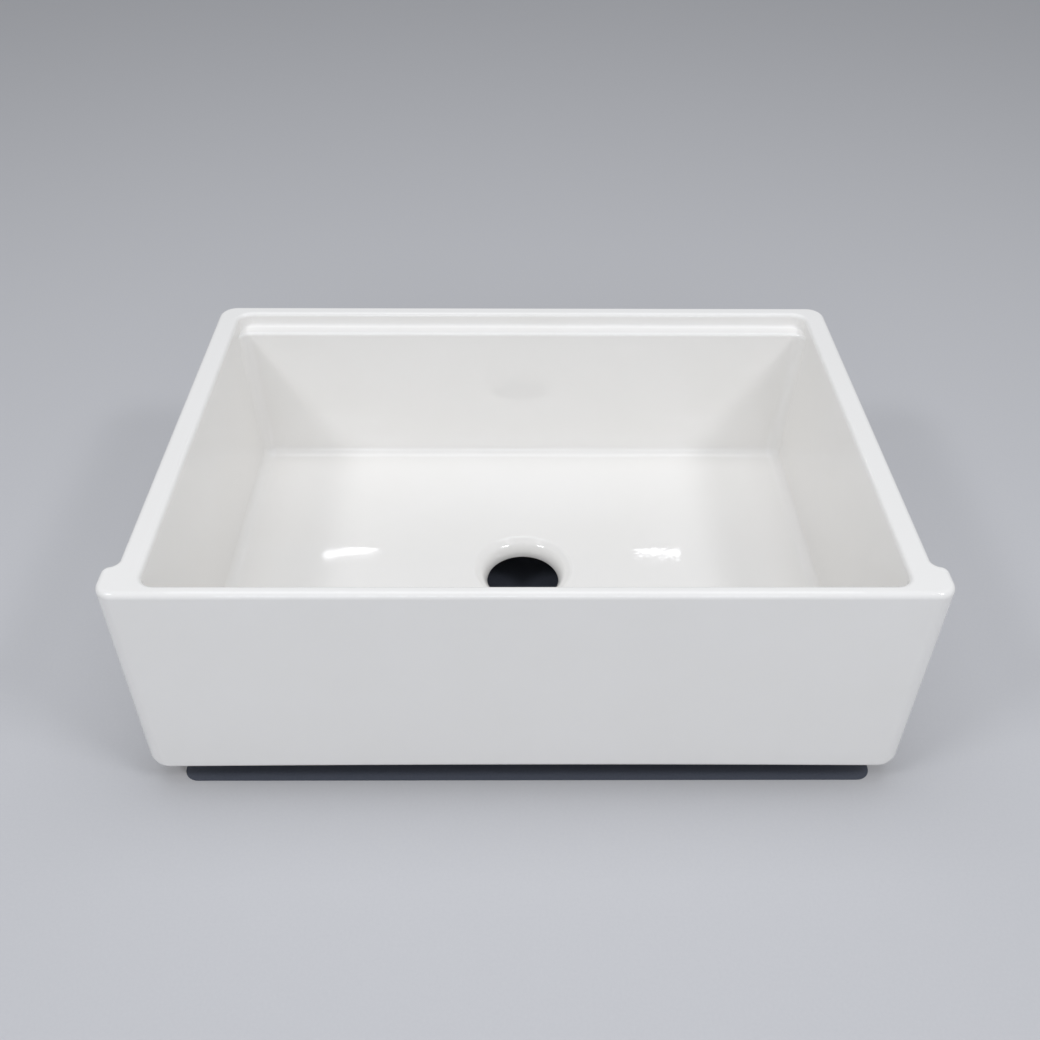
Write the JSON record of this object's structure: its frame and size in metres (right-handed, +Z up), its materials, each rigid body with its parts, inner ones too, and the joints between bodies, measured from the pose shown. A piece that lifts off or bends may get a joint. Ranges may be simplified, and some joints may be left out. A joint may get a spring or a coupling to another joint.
{
  "type": "farmhouse apron front sink",
  "caption": "White glazed fireclay kitchen sink: deep rectangular bowl, wide apron with side ears, ledge along the back wall, round drain hole, standing on rubber pads.",
  "frame": {"origin": "middle of the footprint (apron face to tub back, ear to ear), on the surface that the pads stand on", "axes": "+X to the sink's right seen from its apron, +Y from the apron to the back, +Z up; the apron faces -Y"},
  "size_m": [0.762, 0.508, 0.2703],
  "materials": {
    "fireclay": "gloss",
    "rubber": "matte"
  },
  "bodies": {
    "root": {"sink_body": "fireclay", "support_pad_front_left": "rubber", "support_pad_front_right": "rubber", "support_pad_back_left": "rubber", "support_pad_back_right": "rubber"}
  },
  "joints": []
}
